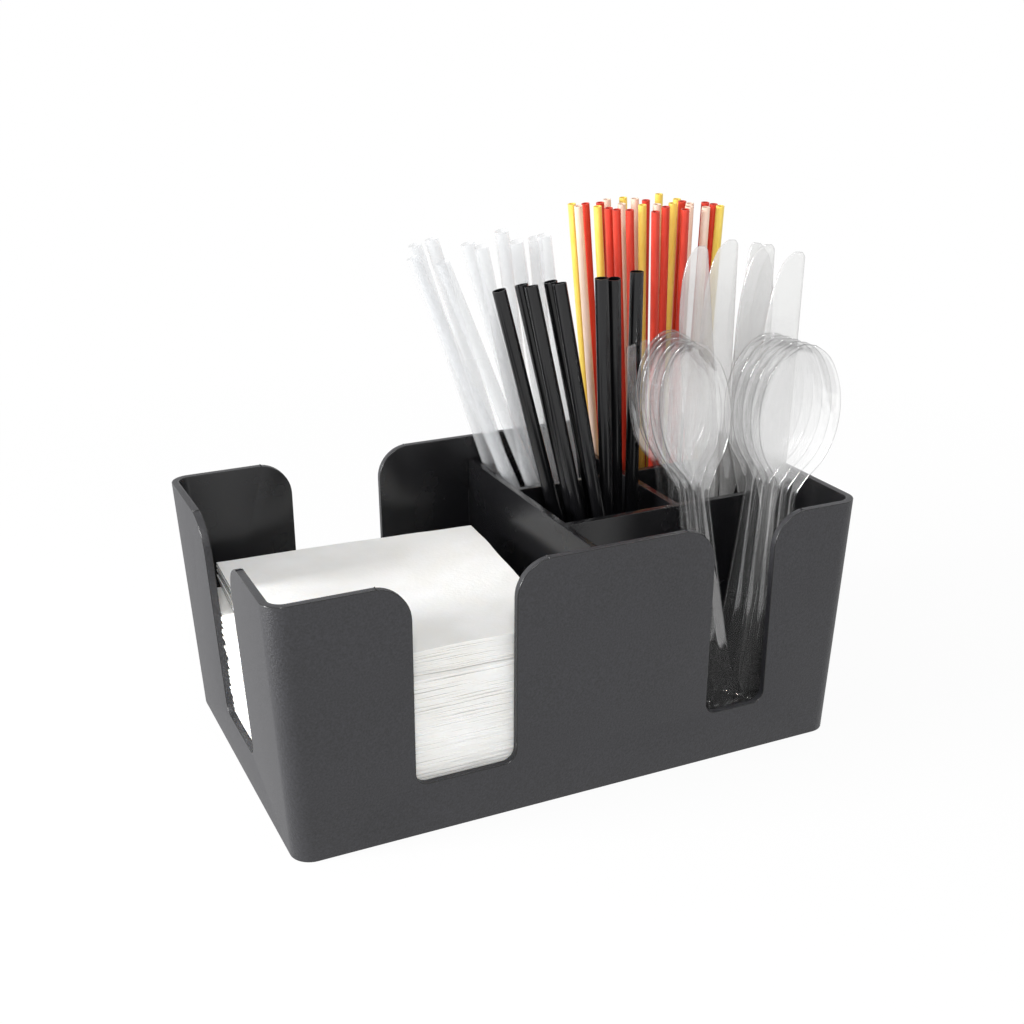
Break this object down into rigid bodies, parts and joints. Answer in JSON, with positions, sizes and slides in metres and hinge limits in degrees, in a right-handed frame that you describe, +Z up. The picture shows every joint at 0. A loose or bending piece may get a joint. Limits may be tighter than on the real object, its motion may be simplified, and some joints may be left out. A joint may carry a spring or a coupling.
{
  "type": "bar caddy",
  "caption": "Open moulded caddy with a napkin bay and five compartments, stocked with folded napkins, straws, stirrers and clear plastic cutlery.",
  "frame": {"origin": "centre of the tub's flat base", "axes": "+X along the length, napkins at the -X end; -Y is the front with two slots; +Z up"},
  "size_m": [0.2414, 0.146, 0.206],
  "materials": {
    "tub_plastic": "moulded ABS, fine sand grain outside, smooth and glossy inside",
    "napkin_paper": "soft white tissue paper, folded in quarters",
    "clear_straw": "extruded polypropylene, milky and translucent",
    "black_straw": "extruded polypropylene, glossy black",
    "red_stirrers": "extruded polypropylene, red",
    "yellow_stirrers": "extruded polypropylene, yellow",
    "cream_stirrers": "extruded polypropylene, pale cream",
    "clear_cutlery": "injection moulded clear polystyrene, polished"
  },
  "bodies": {
    "caddy": {"tub": "tub_plastic"},
    "napkins": {"square_napkins": "napkin_paper", "turned_napkins": "napkin_paper"},
    "clear_straws": {"clear_straw_1": "clear_straw", "clear_straw_10": "clear_straw", "clear_straw_2": "clear_straw", "clear_straw_3": "clear_straw", "clear_straw_4": "clear_straw", "clear_straw_5": "clear_straw", "clear_straw_6": "clear_straw", "clear_straw_7": "clear_straw", "clear_straw_8": "clear_straw", "clear_straw_9": "clear_straw"},
    "black_straws": {"black_straw_1": "black_straw", "black_straw_2": "black_straw", "black_straw_3": "black_straw", "black_straw_4": "black_straw", "black_straw_5": "black_straw", "black_straw_6": "black_straw", "black_straw_7": "black_straw", "black_straw_8": "black_straw"},
    "stirrers": {"cream_stirrers": "cream_stirrers", "red_stirrers": "red_stirrers", "yellow_stirrers": "yellow_stirrers"},
    "front_cutlery": {"front_knife": "clear_cutlery", "front_spoon_1": "clear_cutlery", "front_spoon_2": "clear_cutlery", "front_spoon_3": "clear_cutlery", "front_spoon_4": "clear_cutlery", "front_spoon_5": "clear_cutlery", "front_spoon_6": "clear_cutlery", "front_spoon_7": "clear_cutlery", "front_spoon_8": "clear_cutlery"},
    "rear_cutlery": {"rear_fork": "clear_cutlery", "rear_knife_1": "clear_cutlery", "rear_knife_2": "clear_cutlery", "rear_knife_3": "clear_cutlery", "rear_knife_4": "clear_cutlery", "rear_spoon_1": "clear_cutlery", "rear_spoon_2": "clear_cutlery"}
  },
  "joints": [
    {"name": "napkins_lift", "type": "slide", "parent": "caddy", "child": "napkins", "axis": [0, 0, 1], "range_m": [0, 0.06]},
    {"name": "clear_straws_lift", "type": "slide", "parent": "caddy", "child": "clear_straws", "axis": [0, 0, 1], "range_m": [0, 0.1]},
    {"name": "black_straws_lift", "type": "slide", "parent": "caddy", "child": "black_straws", "axis": [0, 0, 1], "range_m": [0, 0.1]},
    {"name": "stirrers_lift", "type": "slide", "parent": "caddy", "child": "stirrers", "axis": [0, 0, 1], "range_m": [0, 0.1]},
    {"name": "front_cutlery_lift", "type": "slide", "parent": "caddy", "child": "front_cutlery", "axis": [0, 0, 1], "range_m": [0, 0.1]},
    {"name": "rear_cutlery_lift", "type": "slide", "parent": "caddy", "child": "rear_cutlery", "axis": [0, 0, 1], "range_m": [0, 0.1]}
  ]
}
